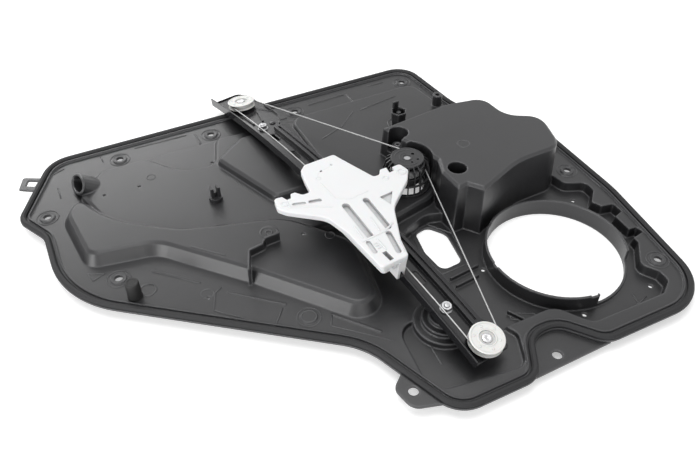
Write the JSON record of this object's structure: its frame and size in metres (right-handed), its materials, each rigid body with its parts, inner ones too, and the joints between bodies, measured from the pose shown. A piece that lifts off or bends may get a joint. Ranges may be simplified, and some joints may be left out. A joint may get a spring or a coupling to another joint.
{
  "type": "window regulator",
  "caption": "Moulded door panel carrier with a cable window regulator: bowed rail, glass carriage, end pulleys, caged cable drum, deep dome, loudspeaker collar and rim seal.",
  "frame": {"origin": "on the cable drum's axis, level with the top face of the carrier's flange", "axes": "+X along the door towards the loudspeaker, +Y up the door, +Z out of the carrier towards the side with the rail"},
  "size_m": [0.649, 0.5795, 0.0753],
  "materials": {
    "carrier_plastic": "satin",
    "gasket_rubber": "matt",
    "rail_paint": "gloss",
    "carriage_plastic": "satin",
    "ferrule_steel": "satin",
    "pulley_plastic": "satin",
    "axle_steel": "satin",
    "stud_steel": "satin",
    "drum_plastic": "satin",
    "cable_steel": "satin",
    "pin_steel": "satin",
    "housing_plastic": "satin",
    "clip_plastic": "satin",
    "peg_rubber": "matt"
  },
  "bodies": {
    "carrier": {"panel_carrier": "carrier_plastic", "perimeter_gasket": "gasket_rubber", "guide_rail": "rail_paint", "upper_pulley_axle": "axle_steel", "lower_pulley_axle": "axle_steel", "upper_rail_stud": "stud_steel", "lower_rail_stud": "stud_steel", "drum_pin": "pin_steel", "drum_housing": "housing_plastic", "upper_cable": "cable_steel", "lower_cable": "cable_steel", "harness_clip": "clip_plastic", "buffer_peg": "peg_rubber"},
    "glass_carriage": {"carriage": "carriage_plastic", "upper_ferrule": "ferrule_steel", "lower_ferrule": "ferrule_steel"},
    "upper_wheel": {"upper_pulley": "pulley_plastic"},
    "lower_wheel": {"lower_pulley": "pulley_plastic"},
    "cable_drum": {"drum": "drum_plastic", "cable_winding": "cable_steel"}
  },
  "joints": [
    {"name": "carriage_travel", "type": "hinge", "parent": "carrier", "child": "glass_carriage", "pos_m": [-0.08465, -0.002, -1.267], "axis": [0.991, 0.1336, 0], "range_deg": [-7.05, 3.53]},
    {"name": "upper_pulley_spin", "type": "hinge", "parent": "carrier", "child": "upper_wheel", "pos_m": [-0.11721, 0.23957, 0.0186], "axis": [-0.0249, 0.1846, 0.9825], "range_deg": [-620, 310]},
    {"name": "lower_pulley_spin", "type": "hinge", "parent": "carrier", "child": "lower_wheel", "pos_m": [-0.05209, -0.24357, 0.0186], "axis": [0.0249, -0.1846, 0.9825], "range_deg": [-620, 310]},
    {"name": "drum_spin", "type": "hinge", "parent": "carrier", "child": "cable_drum", "pos_m": [0, 0, 0.035], "axis": [0, 0, 1], "range_deg": [-490, 246]}
  ],
  "couplings": [
    {"joint": "upper_pulley_spin", "follows": "carriage_travel", "ratio": 87.233},
    {"joint": "lower_pulley_spin", "follows": "carriage_travel", "ratio": 87.233},
    {"joint": "drum_spin", "follows": "carriage_travel", "ratio": 68.868}
  ]
}
